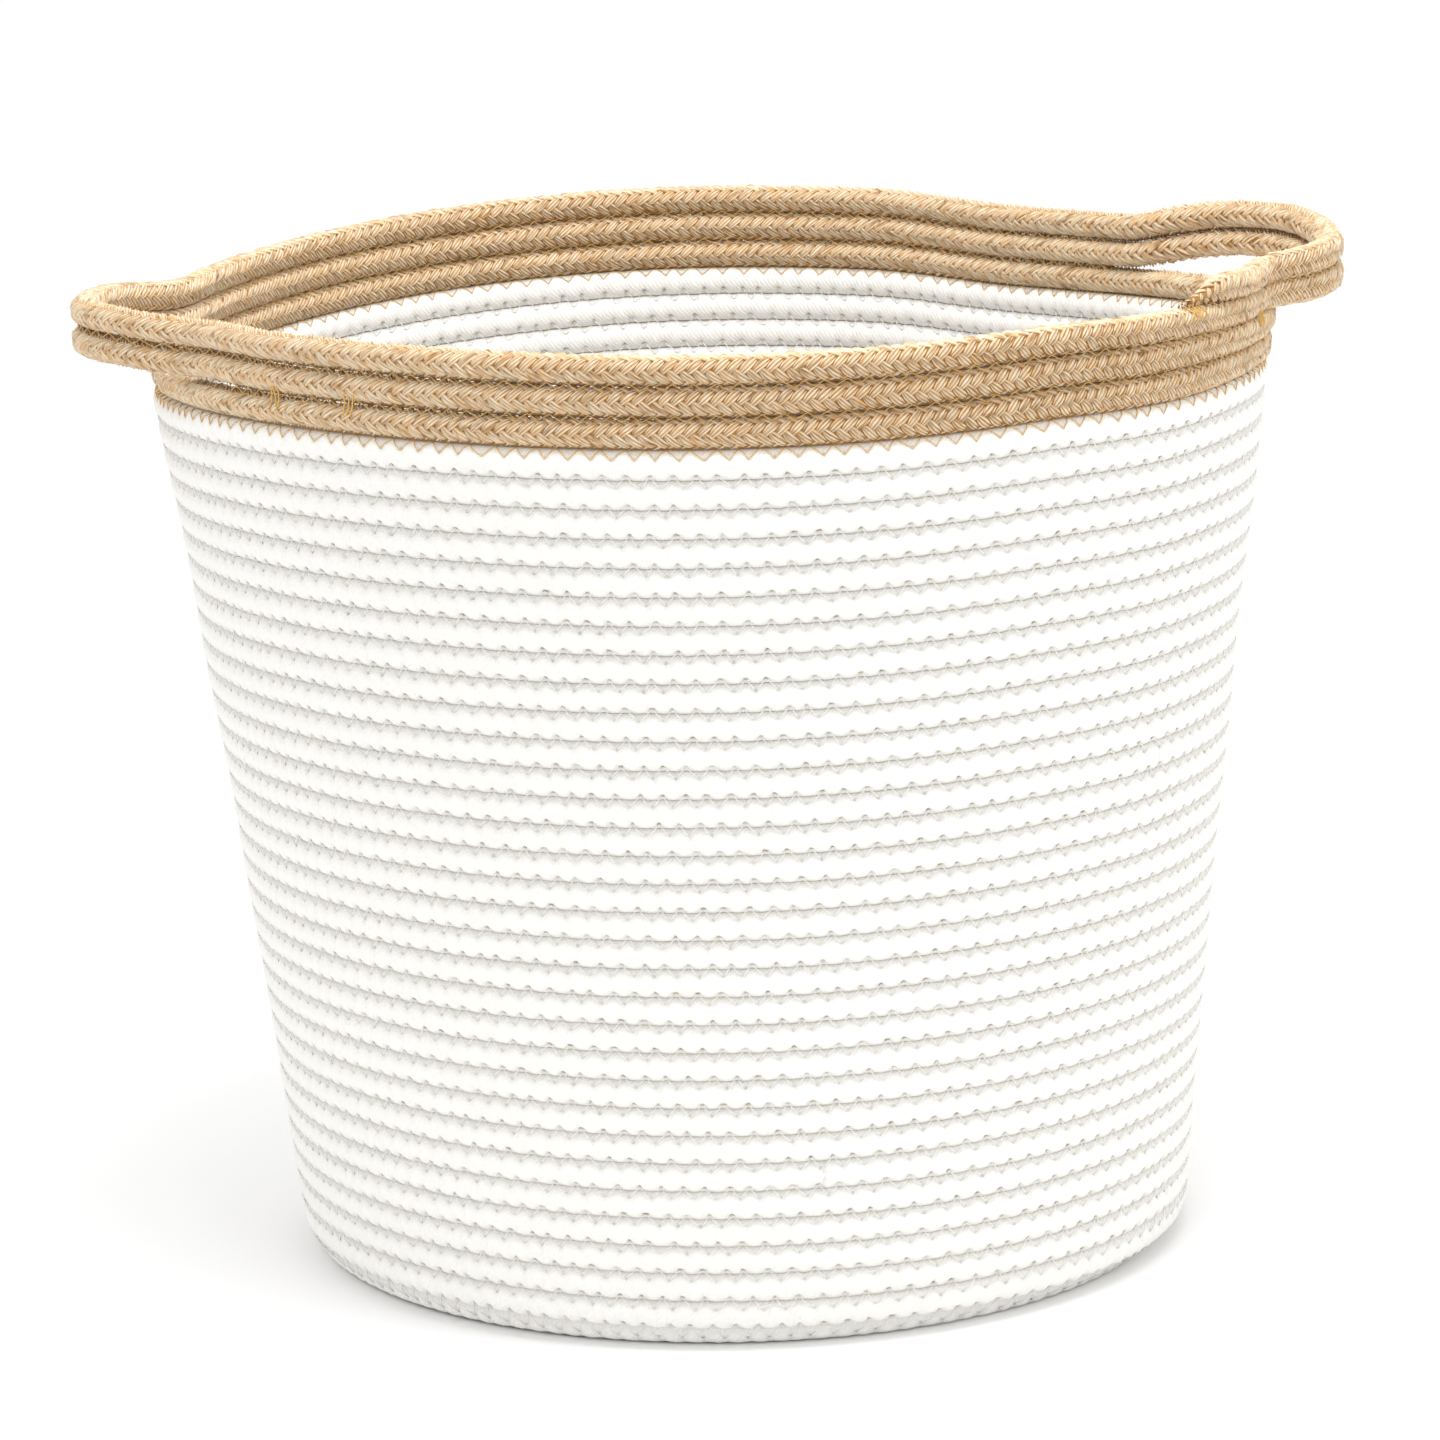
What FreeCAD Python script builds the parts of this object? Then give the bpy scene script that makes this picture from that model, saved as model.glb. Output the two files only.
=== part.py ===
import FreeCAD, Part
import math
import os

# Coiled-rope laundry basket, in millimetres, +Z up.
# The origin is the centre of the underside, on the floor, and the two handles point along +X and -X.
# One cotton rope is coiled into the base and the wall. One jute rope goes on from it as three
# turns of rim that climb clockwise, seen from above, and its two upper turns leave the wall
# at each side to form the handles.

# cotton body
wallHeight = 320.0         # floor to the mean height of the cotton's upper edge
baseRadius = 155.0         # middle of the lowest wall row
rimRadius = 192.5          # middle of the jute rows
cottonPitch = 10.0         # height of one wall row, and width of one base row
cottonSwell = 0.6          # how far the rope's skin bulges past half a pitch

# jute rim
jutePitch = 10.5           # height of one rim row
rowGap = 0.4               # air between two jute rows
jointGap = 0.6             # air where the first jute row meets the end of the cotton
tailAngle = 43.0           # where the rope's last end stops, from the handle axis

# handles
handleReach = 29.0         # how far the loop's middle stands out from the rim
handleRoot = 23.0          # angle from the handle axis at which the rope leaves the rim
crestRadius = 70.0         # bend of the outer part of the loop
handleLift = 6.0           # degrees that the loop leans up
hingeGap = 0.6             # air between a loop and the rope that carries it on

# sewing
threadRadius = 0.5         # lockstitch thread, as it lies in a groove
threadClearance = 0.1      # air between a thread and the rope skins
tackBars = 3               # stitches side by side in one bar tack
tackStep = 2.4             # distance from bar to bar
tackHeight = 8.0           # length of a bar
tackAngle = 2.0            # degrees that a bar tack sits behind the handle's root

origin = FreeCAD.Vector(0, 0, 0)
alongY = FreeCAD.Vector(0, 1, 0)
alongZ = FreeCAD.Vector(0, 0, 1)

wallRows = round(wallHeight / cottonPitch)
rowHeight = wallHeight / wallRows
cottonRadius = rowHeight / 2 + cottonSwell
juteRadius = (jutePitch - rowGap) / 2
halfTurnTilt = math.degrees(math.asin(jutePitch / 4 / rimRadius))


def polar(radius, degrees):
    """A point of the plane z = 0."""
    turn = math.radians(degrees)
    return FreeCAD.Vector(radius * math.cos(turn), radius * math.sin(turn), 0)


def bend(start, centre, degrees, radius):
    """A round rope of the given radius, from start along a level arc about centre."""
    arm = start - centre
    tangent = FreeCAD.Vector(-arm.y, arm.x, 0)
    section = Part.Face(Part.Wire(Part.makeCircle(radius, start, tangent)))
    return section.revolve(centre, alongZ, degrees)


def joined(pieces):
    """One solid from rope pieces that meet face to face."""
    whole = pieces[0]
    for piece in pieces[1:]:
        whole = whole.fuse(piece)
    return whole.Solids[0]


def grooveOffset(radius, pitch):
    """How far from the rows' middles a thread lies in the groove between two rows."""
    return math.sqrt((radius + threadRadius + threadClearance) ** 2 - (pitch / 2) ** 2)


# ---- the loop that a jute row makes at a handle, level, at +X
# It leaves the rim on an arc that bends outward, and turns over a crest of crestRadius.

crestCentre = FreeCAD.Vector(rimRadius + handleReach - crestRadius, 0, 0)
rootCos = math.cos(math.radians(handleRoot))
flareTop = crestRadius ** 2 - rimRadius ** 2 - crestCentre.x ** 2 + 2 * crestCentre.x * rimRadius * rootCos
flareRadius = flareTop / (2 * (rimRadius - crestRadius - crestCentre.x * rootCos))
flareCentre = polar(rimRadius + flareRadius, handleRoot)
flareEnd = crestCentre + (flareCentre - crestCentre) * (crestRadius / (crestRadius + flareRadius))
crestAngle = math.degrees(math.atan2(flareEnd.y, flareEnd.x - crestCentre.x))
flareAngle = handleRoot - crestAngle
hingeX = flareEnd.x
hingeY = flareEnd.y


def loopRope(radius, outward=0.0):
    """The whole level loop at +X, from rim to rim, moved outward by the given distance."""
    crestStart = crestCentre + polar(crestRadius + outward, -crestAngle)
    crest = bend(crestStart, crestCentre, 2 * crestAngle, radius)
    backStart = crestCentre + polar(crestRadius + outward, crestAngle)
    back = bend(backStart, flareCentre, flareAngle, radius)
    return joined([back.mirror(origin, alongY), crest, back])


def slab(low, high):
    """The space between two planes of constant Y."""
    size = 4 * rimRadius
    return Part.makeBox(size, high - low, size, FreeCAD.Vector(-size / 2, low, -size / 2))


far = 2 * rimRadius
backOfHinge = slab(hingeY + hingeGap / 2, far)
frontOfHinge = slab(-far, -hingeY - hingeGap / 2)
betweenHinges = slab(-hingeY + hingeGap / 2, hingeY - hingeGap / 2)


# ---- rim rows
# Half a turn of a row is a level arc tilted a little about Y: the front half climbs to the left
# (-X), and the back half climbs on to the right (+X).

def frontHalf(shape, turn):
    """Level rope at the front, moved to its turn (1 is the lowest)."""
    placed = shape.rotated(origin, alongY, halfTurnTilt)
    return placed.translated(alongZ * (wallHeight + (turn - 0.75) * jutePitch))


def backHalf(shape, turn):
    placed = shape.rotated(origin, alongY, -halfTurnTilt)
    return placed.translated(alongZ * (wallHeight + (turn - 0.25) * jutePitch))


def rimArc(fromAngle, toAngle, radius, outward=0.0):
    return bend(polar(rimRadius + outward, fromAngle), origin, toAngle - fromAngle, radius)


def mirroredLeft(shape):
    return shape.mirror(origin, FreeCAD.Vector(1, 0, 0))


looseLoop = loopRope(juteRadius)
frontRootRight = looseLoop.common(frontOfHinge).Solids[0]
backRootRight = looseLoop.common(backOfHinge).Solids[0]
frontRootLeft = mirroredLeft(frontRootRight)
backRootLeft = mirroredLeft(backRootRight)


def rimRopes():
    """The jute rope's stretches on the rim, each from one handle to the next."""
    startAngle = math.degrees(jointGap / rimRadius)
    firstFront = frontHalf(rimArc(-180, -startAngle, juteRadius), 1)
    firstBack = backHalf(rimArc(0, 180, juteRadius), 1)
    secondFlat = joined([rimArc(-180 + handleRoot, 0, juteRadius), frontRootLeft])
    secondFront = frontHalf(secondFlat, 2)
    frontSpan = joined([rimArc(-180 + handleRoot, -handleRoot, juteRadius), frontRootLeft, frontRootRight])
    backSpan = joined([rimArc(handleRoot, 180 - handleRoot, juteRadius), backRootLeft, backRootRight])
    tail = joined([rimArc(-tailAngle, -handleRoot, juteRadius), frontRootRight])
    return {
        "rim_rope_lower_run": joined([firstFront, firstBack, secondFront]),
        "rim_rope_back_middle_run": backHalf(backSpan, 2),
        "rim_rope_front_upper_run": frontHalf(frontSpan, 3),
        "rim_rope_back_upper_run": backHalf(backSpan, 3),
        "rim_rope_tail_end": frontHalf(tail, 4),
    }


# ---- handles

def handleHeight(side, row):
    """Height of a handle row's ends: row 0 is the lower rope, 1 the upper. The right handle is
    half a turn further up the rope than the left one."""
    turns = 2 if side == "right" else 1.5
    return wallHeight + (turns + row) * jutePitch


def placedLoop(shape, side, height):
    """A level loop at +X, leaned up about its ends, set at its height and its side."""
    leaned = shape.rotated(FreeCAD.Vector(hingeX, 0, 0), alongY, -handleLift)
    raised = leaned.translated(alongZ * height)
    return raised if side == "right" else mirroredLeft(raised)


def handlePieces():
    """The two ropes of each handle, and the thread in the groove between them. The lean draws the
    rows together and sets the upper one back, so that thread lies a little further out."""
    lean = math.radians(handleLift)
    loop = looseLoop.common(betweenHinges).Solids[0]
    offset = grooveOffset(juteRadius, jutePitch * math.cos(lean)) + jutePitch / 2 * math.sin(lean)
    thread = loopRope(threadRadius, offset).common(betweenHinges).Solids[0]
    pieces = {}
    for side in ("left", "right"):
        pieces[side + "_handle_lower_rope"] = placedLoop(loop, side, handleHeight(side, 0))
        pieces[side + "_handle_upper_rope"] = placedLoop(loop, side, handleHeight(side, 1))
        pieces[side + "_handle_seam_thread"] = placedLoop(thread, side, handleHeight(side, 0.5))
    return pieces


# ---- cotton wall and base

def arcAbout(centre, start, end, radius):
    """The short arc about centre from start to end, which both lie on it."""
    toMiddle = ((start + end) / 2 - centre).normalize()
    return Part.Arc(start, centre + toMiddle * radius, end).toShape()


def scallops(centres, radius):
    """Arcs round a chain of rope sections, on the left-hand side of the chain's direction. The
    first and the last section only give the points where their neighbours' arcs end."""
    joints = []
    for first, second in zip(centres, centres[1:]):
        span = second - first
        normal = FreeCAD.Vector(-span.z, 0, span.x).normalize()
        depth = math.sqrt(radius ** 2 - (span.Length / 2) ** 2)
        joints.append((first + second) / 2 + normal * depth)
    arcs = []
    for before, after, centre in zip(joints, joints[1:], centres[1:]):
        arcs.append(arcAbout(centre, before, after, radius))
    return joints, arcs


def turned(outline):
    """The solid that an outline makes about Z, with what bulges below the floor pressed flat."""
    size = 4 * rimRadius
    underFloor = Part.makeBox(size, size, size, FreeCAD.Vector(-size / 2, -size / 2, -size))
    section = Part.Face(outline).cut(underFloor)
    return section.Faces[0].revolve(origin, alongZ, 360)


def wallRopeCoil():
    """The wall: a tapering tube with one rounded row per turn. It is cut to the climbing edge
    that the first jute row lies on."""
    slope = (rimRadius - baseRadius) / wallHeight
    centres = []
    for row in range(-1, wallRows + 3):
        height = (row + 0.5) * rowHeight
        centres.append(FreeCAD.Vector(baseRadius + slope * height, 0, height))
    innerJoints, innerArcs = scallops(centres, cottonRadius)
    outerJoints, outerArcs = scallops(centres[::-1], cottonRadius)
    foot = Part.makeLine(outerJoints[-1], innerJoints[0])
    top = Part.makeLine(innerJoints[-1], outerJoints[0])
    tube = turned(Part.Wire(innerArcs + [top] + outerArcs + [foot]))
    size = 4 * rimRadius
    aboveFront = Part.makeBox(size, size / 2, size, FreeCAD.Vector(-size / 2, -size / 2, -jutePitch / 2))
    aboveBack = Part.makeBox(size, size / 2, size, FreeCAD.Vector(-size / 2, 0, -jutePitch / 2))
    return tube.cut(frontHalf(aboveFront, 1)).cut(backHalf(aboveBack, 1)).Solids[0]


def baseRows():
    """How many rows surround the base's middle one, and how wide each is."""
    outside = baseRadius - cottonRadius - rowGap
    rows = round(outside / cottonPitch - 0.5)
    return rows, outside / (rows + 0.5)


def baseRopeCoil():
    """The base: a disc of rope rows about a round middle, pressed flat where it stands."""
    rows, rowWidth = baseRows()
    swell = rowWidth / 2 + cottonSwell
    middle = FreeCAD.Vector(0, 0, rowHeight / 2)
    centres = []
    for row in range(rows + 2):
        centres.append(middle + FreeCAD.Vector(row * rowWidth, 0, 0))
    upperJoints, upperArcs = scallops(centres, swell)
    lowerJoints, lowerArcs = scallops(centres[::-1], swell)
    top = middle + alongZ * swell
    bottom = middle - alongZ * swell
    upperMiddle = arcAbout(middle, top, upperJoints[0], swell)
    lowerMiddle = arcAbout(middle, lowerJoints[-1], bottom, swell)
    edge = Part.makeLine(upperJoints[-1], lowerJoints[0])
    axis = Part.makeLine(bottom, top)
    return turned(Part.Wire([upperMiddle] + upperArcs + [edge] + lowerArcs + [lowerMiddle, axis]))


# ---- sewing

def ring(radius, height):
    """A thread all round the basket, four-sided, with its corners at the thread's radius."""
    middle = FreeCAD.Vector(radius, 0, height)
    inward = FreeCAD.Vector(-threadRadius, 0, 0)
    upward = FreeCAD.Vector(0, 0, threadRadius)
    outline = Part.makePolygon([middle + inward, middle + upward, middle - inward, middle - upward,
                                middle + inward])
    return Part.Face(outline).revolve(origin, alongZ, 360)


def wallSeamThread():
    """White thread in every outer groove of the wall below the climbing edge."""
    slope = (rimRadius - baseRadius) / wallHeight
    lean = math.atan(slope)
    offset = grooveOffset(cottonRadius, rowHeight / math.cos(lean))
    rings = []
    for row in range(1, wallRows - 1):
        height = row * rowHeight - offset * math.sin(lean)
        radius = baseRadius + slope * row * rowHeight + offset * math.cos(lean)
        rings.append(ring(radius, height))
    return Part.makeCompound(rings)


def baseSeamThread():
    """White thread in every upper groove of the base."""
    rows, rowWidth = baseRows()
    offset = grooveOffset(rowWidth / 2 + cottonSwell, rowWidth)
    rings = []
    for row in range(rows):
        rings.append(ring((row + 0.5) * rowWidth, rowHeight / 2 + offset))
    return Part.makeCompound(rings)


def rimSeamThreads():
    """Tan thread in the rim's outer grooves. The lowest one sews the jute to the cotton, and lies
    on the cotton's skin, clear of it where it bulges most."""
    offset = grooveOffset(juteRadius, jutePitch)
    widening = (rimRadius - baseRadius) / wallHeight * jutePitch / 2
    edgeOffset = cottonRadius + widening + threadRadius + threadClearance
    clear = math.degrees(jointGap / rimRadius)
    edgeFront = rimArc(-180, -clear, threadRadius, edgeOffset)
    edgeBack = rimArc(clear, 180, threadRadius, edgeOffset)
    longFront = rimArc(-180 + handleRoot, -clear, threadRadius, offset)
    shortFront = rimArc(-180 + handleRoot, -handleRoot, threadRadius, offset)
    shortBack = rimArc(handleRoot, 180 - handleRoot, threadRadius, offset)
    tailSeam = rimArc(-tailAngle, -handleRoot, threadRadius, offset)
    edge = joined([frontHalf(edgeFront, 0.5), backHalf(edgeBack, 0.5)])
    lower = [frontHalf(longFront, 1.5), backHalf(shortBack, 1.5)]
    upper = [frontHalf(shortFront, 2.5), backHalf(shortBack, 2.5), frontHalf(tailSeam, 3.5)]
    return {
        "edge_seam_thread": edge,
        "rim_seam_thread_lower": Part.makeCompound(lower),
        "rim_seam_thread_upper": Part.makeCompound(upper),
    }


def barTacks():
    """Short bars of thread over the groove where each loop leaves the rim."""
    radius = rimRadius + juteRadius + threadRadius + threadClearance
    stepAngle = math.degrees(tackStep / radius)
    pieces = {}
    for side in ("left", "right"):
        middle = handleHeight(side, -0.5)
        for end, sign in (("front", -1), ("back", 1)):
            bars = []
            for bar in range(tackBars):
                angle = sign * (handleRoot + tackAngle + bar * stepAngle)
                foot = polar(radius, angle) + alongZ * (middle - tackHeight / 2)
                bars.append(Part.makeCylinder(threadRadius, tackHeight, foot, alongZ))
            group = Part.makeCompound(bars)
            pieces[side + "_" + end + "_bar_tack"] = group if side == "right" else mirroredLeft(group)
    return pieces


def allPieces():
    pieces = {
        "base_rope_coil": baseRopeCoil(),
        "base_seam_thread": baseSeamThread(),
        "wall_rope_coil": wallRopeCoil(),
        "wall_seam_thread": wallSeamThread(),
    }
    pieces.update(rimSeamThreads())
    pieces.update(rimRopes())
    pieces.update(handlePieces())
    pieces.update(barTacks())
    return pieces


os.makedirs("parts", exist_ok=True)
for name, shape in allPieces().items():
    shape.exportStep("parts/" + name + ".step")
    box = shape.BoundBox
    print(name, "solids", len(shape.Solids), "valid", shape.isValid(), "volume", round(shape.Volume),
          "z", round(box.ZMin, 2), round(box.ZMax, 2), "x", round(box.XMin, 1), round(box.XMax, 1))
print("hinge x", round(hingeX, 3), "y", round(hingeY, 3), "flare radius", round(flareRadius, 2),
      "crest angle", round(crestAngle, 2), "half-turn tilt", round(halfTurnTilt, 3))
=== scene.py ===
import math

import bpy
import numpy as np
from mathutils import Matrix, Vector


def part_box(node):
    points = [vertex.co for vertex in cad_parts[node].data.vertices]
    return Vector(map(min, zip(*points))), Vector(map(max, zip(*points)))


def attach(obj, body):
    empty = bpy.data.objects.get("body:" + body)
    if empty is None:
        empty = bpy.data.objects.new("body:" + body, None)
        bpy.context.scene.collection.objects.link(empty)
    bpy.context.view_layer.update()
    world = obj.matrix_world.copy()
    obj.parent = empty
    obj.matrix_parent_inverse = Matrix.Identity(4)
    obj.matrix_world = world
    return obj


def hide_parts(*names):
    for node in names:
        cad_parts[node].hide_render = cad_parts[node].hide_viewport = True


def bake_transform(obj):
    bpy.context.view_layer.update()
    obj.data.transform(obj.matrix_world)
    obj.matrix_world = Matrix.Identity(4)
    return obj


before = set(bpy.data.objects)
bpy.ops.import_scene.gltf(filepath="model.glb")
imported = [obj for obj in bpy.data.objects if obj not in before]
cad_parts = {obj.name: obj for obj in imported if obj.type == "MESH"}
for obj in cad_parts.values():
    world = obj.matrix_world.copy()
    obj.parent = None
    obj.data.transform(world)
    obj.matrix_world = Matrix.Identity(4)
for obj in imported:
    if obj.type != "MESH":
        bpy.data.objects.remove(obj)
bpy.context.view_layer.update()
print("frame loaded")

# Main sizes, in metres, read from the CAD frame where it holds them.

jute = {
    "pitch": 0.0105,          # one rim row
    "gap": 0.0004,            # air between CAD rows, which the braid fills
    "rootAngle": 23.0,        # where a loop leaves the rim, from the handle axis
    "crestRadius": 0.070,     # bend of a loop's outer part
    "tailAngle": 43.0,        # how far past the right handle the rope ends
    "tailThin": 0.78,         # girth lost at the very end
    "tailTurns": 0.026,       # over how much of a turn it thins
    "tailDrop": 1.1,          # how far it is pressed down, in rope radii
    "stepOut": 0.0030,        # second row bulges where it climbs over the first
    "stepTurns": 0.06,
    "startOut": 0.0010,       # the rope's first end bulges a little too
    "startTurns": 0.05,
    "rootMargin": 4.0,        # degrees of rim that belong to a loop piece
}
cotton = {
    "pitch": 0.010,           # height of one wall row
    "swell": 0.0006,          # CAD skin beyond half a pitch
    "seat": 0.0004,           # CAD air between base and wall
    "wallTurns": 32.2,        # rows that stand up from the base
    "bands": 5,               # pieces that the wall is made in
    "baseStart": 0.02,        # turns, the rope's end in the middle of the base
}

runLow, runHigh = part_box("rim_rope_lower_run")
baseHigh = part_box("base_rope_coil")[1]
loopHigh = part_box("right_handle_upper_rope")[1]
juteRadius = (jute["pitch"] - jute["gap"]) / 2
rimRadius = runHigh[1] - juteRadius
wallHeight = runLow[2] + juteRadius
baseRadius = baseHigh[0] + cotton["pitch"] / 2 + cotton["swell"] + cotton["seat"]
loopReach = loopHigh[0] - juteRadius - rimRadius
loopRise = loopHigh[2] - juteRadius - (wallHeight + 3 * jute["pitch"])

# Reach and rise are shares of the CAD loop's. Lift, in metres, starts liftFrom degrees before the
# handle's axis, comes up over liftOver degrees, and fades out again before the axis.
handles = {
    "left": {"reach": 0.96, "rise": 1.2, "lift": 0.0004, "liftFrom": 36, "liftOver": 12},
    "right": {"reach": 1.12, "rise": -0.6, "lift": 0.0062, "liftFrom": 24, "liftOver": 13},
}
liftFade = {"from": 8.0, "over": 14.0}
slope = (rimRadius - baseRadius) / wallHeight
lean = math.atan(slope)
rng = np.random.default_rng(11)     # only the tacks draw from it


# Small helpers

def unit(v):
    return v / np.linalg.norm(v, axis=-1, keepdims=True)


def smooth(x):
    x = np.clip(x, 0, 1)
    return x * x * (3 - 2 * x)


def ripple(x, seed):
    # slow unevenness between -1 and 1, repeatable
    waves = np.sin(x * 2.1 + seed) + np.sin(x * 5.3 + 2.7 * seed) + 0.7 * np.sin(x * 11.9 + 4.1 * seed)
    return waves / 2.7


# How the soft body stands, in metres: oval across the corners, sides drawn in a little, and the
# edge up and down
stance = {
    "oval": 0.0070,           # wider at the front right and the back left
    "flatter": 0.0018,        # narrower towards the handles
    "lobes": 0.0030,          # threefold, at the rim
    "waist": 0.0018,          # sides drawn in at mid height
    "edgeTilt": 0.0024,       # front edge up, back edge down
    "edgeWave": 0.0018,
    "ripples": 0.0005,        # fine unevenness up the wall
    "dip": 0.0028,            # edge pulled down on both sides of the right handle
    "dipFrom": 0.45,          # cosine of the angle where the dip starts
    "dipOver": 0.30,
    "press": 0.145,           # rim rows pressed together where the rope ends, share of their height
    "pressAngle": -24.0,
    "pressWidth": 15.0,
    "rimTop": 1.12,           # highest share of the wall's height that still moves
}


def relax(p):
    # points of the even body moved to where the soft body has them
    angle = np.arctan2(p[:, 1], p[:, 0])
    height = np.clip(p[:, 2] / wallHeight, 0, stance["rimTop"])
    share = np.clip(np.hypot(p[:, 0], p[:, 1]) / baseRadius, 0, 1)
    swell = -stance["oval"] * np.sin(2 * angle) * (0.75 + 0.25 * height)
    swell -= stance["flatter"] * np.cos(2 * angle)
    swell += stance["lobes"] * (0.3 * np.cos(3 * angle) - np.sin(3 * angle)) * height
    swell -= stance["waist"] * 4 * height * np.clip(1 - height, 0, 1)
    swell += stance["ripples"] * np.sin(23 * height + 1.3 * np.cos(angle)) * height
    wave = np.sin(3 * angle) - 0.3 * np.cos(3 * angle)
    lift = -stance["edgeTilt"] * np.sin(angle) - stance["edgeWave"] * wave
    lift -= stance["dip"] * smooth((np.cos(angle) - stance["dipFrom"]) / stance["dipOver"])
    pressed = np.exp(-((np.degrees(angle) - stance["pressAngle"]) / stance["pressWidth"]) ** 2)
    lift -= stance["press"] * pressed * np.maximum(p[:, 2] - wallHeight, 0)
    q = p.copy()
    q[:, 0] += np.cos(angle) * swell * share
    q[:, 1] += np.sin(angle) * swell * share
    q[:, 2] += lift * height ** 2 * share
    return q


def meshObject(name, points, faces, attributes=None):
    # a smooth mesh from points, faces of any size and values on its points
    mesh = bpy.data.meshes.new(name)
    sizes = np.array([len(face) for face in faces])
    flat = np.concatenate([np.asarray(face) for face in faces])
    starts = np.concatenate([[0], np.cumsum(sizes)[:-1]])
    mesh.vertices.add(len(points))
    mesh.vertices.foreach_set("co", np.asarray(points, dtype=np.float32).ravel())
    mesh.loops.add(len(flat))
    mesh.loops.foreach_set("vertex_index", flat.astype(np.int32))
    mesh.polygons.add(len(sizes))
    mesh.polygons.foreach_set("loop_start", starts.astype(np.int32))
    mesh.polygons.foreach_set("loop_total", sizes.astype(np.int32))
    mesh.update(calc_edges=True)
    addAttributes(mesh, attributes)
    mesh.shade_smooth()
    obj = bpy.data.objects.new(name, mesh)
    bpy.context.scene.collection.objects.link(obj)
    return obj


def addAttributes(mesh, attributes):
    for key, values in (attributes or {}).items():
        values = np.asarray(values, dtype=np.float32)
        kind = "FLOAT_VECTOR" if values.ndim == 2 else "FLOAT"
        layer = mesh.attributes.new(key, kind, "POINT")
        layer.data.foreach_set("vector" if values.ndim == 2 else "value", values.ravel())


def pathObject(name, points, attributes, joined=False):
    # bare points, or a line through them, for a Geometry Nodes tree to work on
    mesh = bpy.data.meshes.new(name)
    mesh.vertices.add(len(points))
    mesh.vertices.foreach_set("co", np.asarray(points, dtype=np.float32).ravel())
    if joined:
        mesh.edges.add(len(points) - 1)
        pairs = np.stack([np.arange(len(points) - 1), np.arange(1, len(points))], -1)
        mesh.edges.foreach_set("vertices", pairs.astype(np.int32).ravel())
    mesh.update()
    addAttributes(mesh, attributes)
    obj = bpy.data.objects.new(name, mesh)
    bpy.context.scene.collection.objects.link(obj)
    return obj


def tube(points, outward, upward, rings):
    # points along the rope, their two side directions, and for every point a ring of (out, up)
    # offsets; both ends are closed
    count, around = rings.shape[:2]
    body = points[:, None] + outward[:, None] * rings[..., :1] + upward[:, None] * rings[..., 1:2]
    vertices = body.reshape(-1, 3)
    i = np.arange(count - 1)[:, None] * around
    j = np.arange(around)[None]
    k = (j + 1) % around
    quads = np.stack([i + j, i + k, i + around + k, i + around + j], -1).reshape(-1, 4)
    last = (count - 1) * around
    here = np.arange(around)
    following = (here + 1) % around
    firstCap = np.stack([np.full(around, len(vertices)), following, here], -1)
    lastCap = np.stack([np.full(around, len(vertices) + 1), last + here, last + following], -1)
    vertices = np.vstack([vertices, points[:1], points[-1:]])
    return vertices, list(quads) + list(firstCap) + list(lastCap)


# Where the ropes run
# One spiral, climbing clockwise seen from above. Cotton turns are counted back from the cotton's
# end, at the handle axis +X; jute turns are counted on from there.

corner = {
    "radius": 0.010,          # bend between base and wall, at the ropes' middles
    "start": 0.0035,          # radius on which the first turn starts
}
rowRise = cotton["pitch"] / math.cos(lean)
bend = math.pi / 2 - lean
floorZ = cotton["pitch"] / 2
flatLength = baseRadius + slope * floorZ - corner["radius"] * math.tan(bend / 2) - corner["start"]
arcLength = corner["radius"] * bend
arcEndZ = floorZ + corner["radius"] * (1 - math.cos(bend))
cottonTurns = (flatLength + arcLength + (wallHeight - arcEndZ) / math.cos(lean)) / rowRise


def cottonProfile(distance):
    # radius, height and heading of the rope's middle, by distance along base and wall
    d = np.asarray(distance)
    turn = np.clip((d - flatLength) / corner["radius"], 0, bend)
    bent = corner["start"] + flatLength + corner["radius"] * np.sin(turn)
    r = np.where(d < flatLength, corner["start"] + d, bent)
    z = floorZ + corner["radius"] * (1 - np.cos(turn))
    climb = np.maximum(d - flatLength - arcLength, 0)
    r = r + climb * math.sin(lean)
    z = z + climb * math.cos(lean)
    return r, z, turn


def cottonFrame(turns):
    # the rope's middle and its outer and upper directions; turns are counted from the middle of
    # the base, and the last one ends at +X
    r, z, heading = cottonProfile(turns * rowRise)
    angle = 2 * math.pi * (cottonTurns - turns)
    radial = np.stack([np.cos(angle), np.sin(angle), np.zeros_like(angle)], -1)
    up = radial * np.cos(heading)[:, None] + np.array([0, 0, 1.0]) * np.sin(heading)[:, None]
    out = radial * np.sin(heading)[:, None] - np.array([0, 0, 1.0]) * np.cos(heading)[:, None]
    point = radial * r[:, None] + np.array([0, 0, 1.0]) * z[:, None]
    return point, out, up


def loopShape(angle):
    # how far a handle row stands out from the rim, at an angle (radians) from the handle axis
    root = math.radians(jute["rootAngle"])
    rc = jute["crestRadius"]
    cx = rimRadius + loopReach - rc
    top = rc ** 2 - rimRadius ** 2 - cx ** 2 + 2 * cx * rimRadius * math.cos(root)
    rf = top / (2 * (rimRadius - rc - cx * math.cos(root)))
    fx, fy = (rimRadius + rf) * math.cos(root), (rimRadius + rf) * math.sin(root)
    join = rc / (rc + rf)
    jx, jy = cx + (fx - cx) * join, fy * join
    a = np.abs(angle)
    crest = cx * np.cos(a) + np.sqrt(np.maximum(rc ** 2 - (cx * np.sin(a)) ** 2, 0))
    across = (rimRadius + rf) * np.cos(a - root)
    flare = across - np.sqrt(np.maximum(across ** 2 - (rimRadius + rf) ** 2 + rf ** 2, 0))
    r = np.where(a < math.atan2(jy, jx), crest, flare)
    return np.where(a < root, r - rimRadius, 0.0)


juteTurns = 3 + jute["tailAngle"] / 360


def wrapped(angle):
    return (angle + math.pi) % (2 * math.pi) - math.pi


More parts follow.
